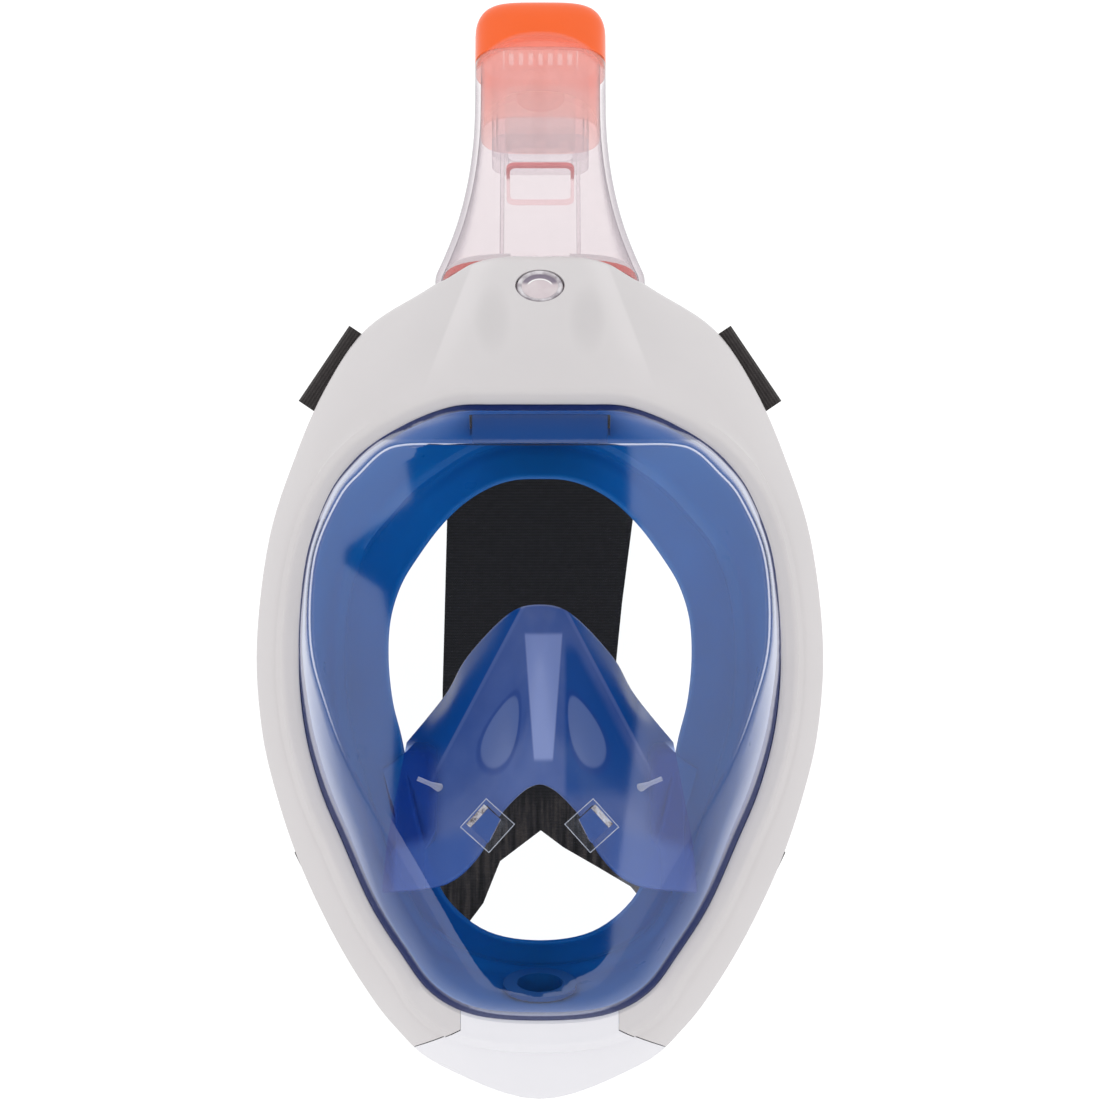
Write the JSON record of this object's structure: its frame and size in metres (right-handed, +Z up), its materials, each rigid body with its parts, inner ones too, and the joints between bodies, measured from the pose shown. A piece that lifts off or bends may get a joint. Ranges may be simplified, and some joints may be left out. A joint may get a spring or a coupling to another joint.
{
  "type": "full-face snorkel mask",
  "caption": "Full-face snorkel mask with a flat clear window, silicone face seal and nose cup, plug-in dry-top snorkel, valves and an adjustable head strap.",
  "frame": {"origin": "point on the flat front of the window, on the mid-plane, 83 mm below the flat's top edge", "axes": "+Z up along the mask, -Y out of the window's flat front, +X to the viewer's right"},
  "size_m": [0.1852, 0.1866, 0.3722],
  "materials": {
    "frame_white": "satin moulded plastic",
    "chin_white": "satin moulded plastic",
    "inner_grey": "matte moulded plastic",
    "window_clear": "clear polycarbonate",
    "skirt_blue": "satin silicone",
    "cup_blue": "translucent silicone",
    "flap_silicone": "clear silicone",
    "clear_plastic": "clear plastic",
    "gasket_red": "matte silicone",
    "cap_orange": "translucent orange plastic",
    "float_white": "matte",
    "strap_black": "ribbed elastic webbing",
    "buckle_black": "satin nylon"
  },
  "bodies": {
    "mask": {"face_frame": "frame_white", "chin_guard": "chin_white", "clamp_ring": "inner_grey", "visor": "window_clear", "face_skirt": "skirt_blue", "nose_cup": "cup_blue", "cup_pins": "clear_plastic", "inlet_seat_left": "clear_plastic", "inlet_seat_right": "clear_plastic", "drain_seat": "clear_plastic", "drain_grille": "inner_grey", "air_duct": "inner_grey", "socket_gasket": "gasket_red", "strap_panel": "strap_black", "strap_upper_left": "strap_black", "strap_upper_right": "strap_black", "strap_lower_left": "strap_black", "strap_lower_right": "strap_black"},
    "snorkel": {"snorkel_tube": "clear_plastic", "snorkel_ribs": "clear_plastic", "snorkel_cap": "cap_orange", "cap_vent_grille": "cap_orange", "float_housing": "clear_plastic", "valve_seat": "clear_plastic", "cartridge_seal": "gasket_red"},
    "button": {"release_clip": "clear_plastic"},
    "float": {"float_body": "float_white", "float_seal": "gasket_red"},
    "inlet_flap_left": {"inlet_flap_left": "flap_silicone"},
    "inlet_flap_right": {"inlet_flap_right": "flap_silicone"},
    "drain_disc": {"drain_disc": "flap_silicone"},
    "exhale_flap_left": {"exhale_flap_left": "flap_silicone"},
    "exhale_flap_right": {"exhale_flap_right": "flap_silicone"},
    "slider_left": {"strap_slider_left": "buckle_black"},
    "slider_right": {"strap_slider_right": "buckle_black"}
  },
  "joints": [
    {"name": "snorkel_lift", "type": "slide", "parent": "mask", "child": "snorkel", "axis": [0, 0.7071, 0.7071], "range_m": [0, 0.05], "deforming": ["release_clip"]},
    {"name": "button_press", "type": "slide", "parent": "snorkel", "child": "button", "axis": [0, 0.7071, -0.7071], "range_m": [0, 0.0026], "stiffness_N_per_m": 400},
    {"name": "float_rise", "type": "slide", "parent": "snorkel", "child": "float", "axis": [0, 0.454, 0.891], "range_m": [0, 0.005]},
    {"name": "inlet_flap_left_open", "type": "hinge", "parent": "mask", "child": "inlet_flap_left", "pos_m": [-0.02002, 0.0067, -0.03572], "axis": [0.6691, 0, 0.7431], "range_deg": [0, 40]},
    {"name": "inlet_flap_right_open", "type": "hinge", "parent": "mask", "child": "inlet_flap_right", "pos_m": [0.02002, 0.0067, -0.03572], "axis": [0.6691, 0, -0.7431], "range_deg": [0, 40]},
    {"name": "drain_lift", "type": "slide", "parent": "mask", "child": "drain_disc", "axis": [0, 0.3256, -0.9455], "range_m": [0, 0.0018]},
    {"name": "exhale_flap_left_open", "type": "hinge", "parent": "mask", "child": "exhale_flap_left", "pos_m": [-0.02139, 0.04672, 0.11644], "axis": [1, 0, 0], "range_deg": [0, 35]},
    {"name": "exhale_flap_right_open", "type": "hinge", "parent": "mask", "child": "exhale_flap_right", "pos_m": [0.02139, 0.04672, 0.11644], "axis": [1, 0, 0], "range_deg": [0, 35]},
    {"name": "slider_left_slide", "type": "slide", "parent": "mask", "child": "slider_left", "axis": [0, -0.9899, 0.1414], "range_m": [-0.006, 0.02]},
    {"name": "slider_right_slide", "type": "slide", "parent": "mask", "child": "slider_right", "axis": [0, -0.9899, 0.1414], "range_m": [-0.006, 0.02]}
  ]
}
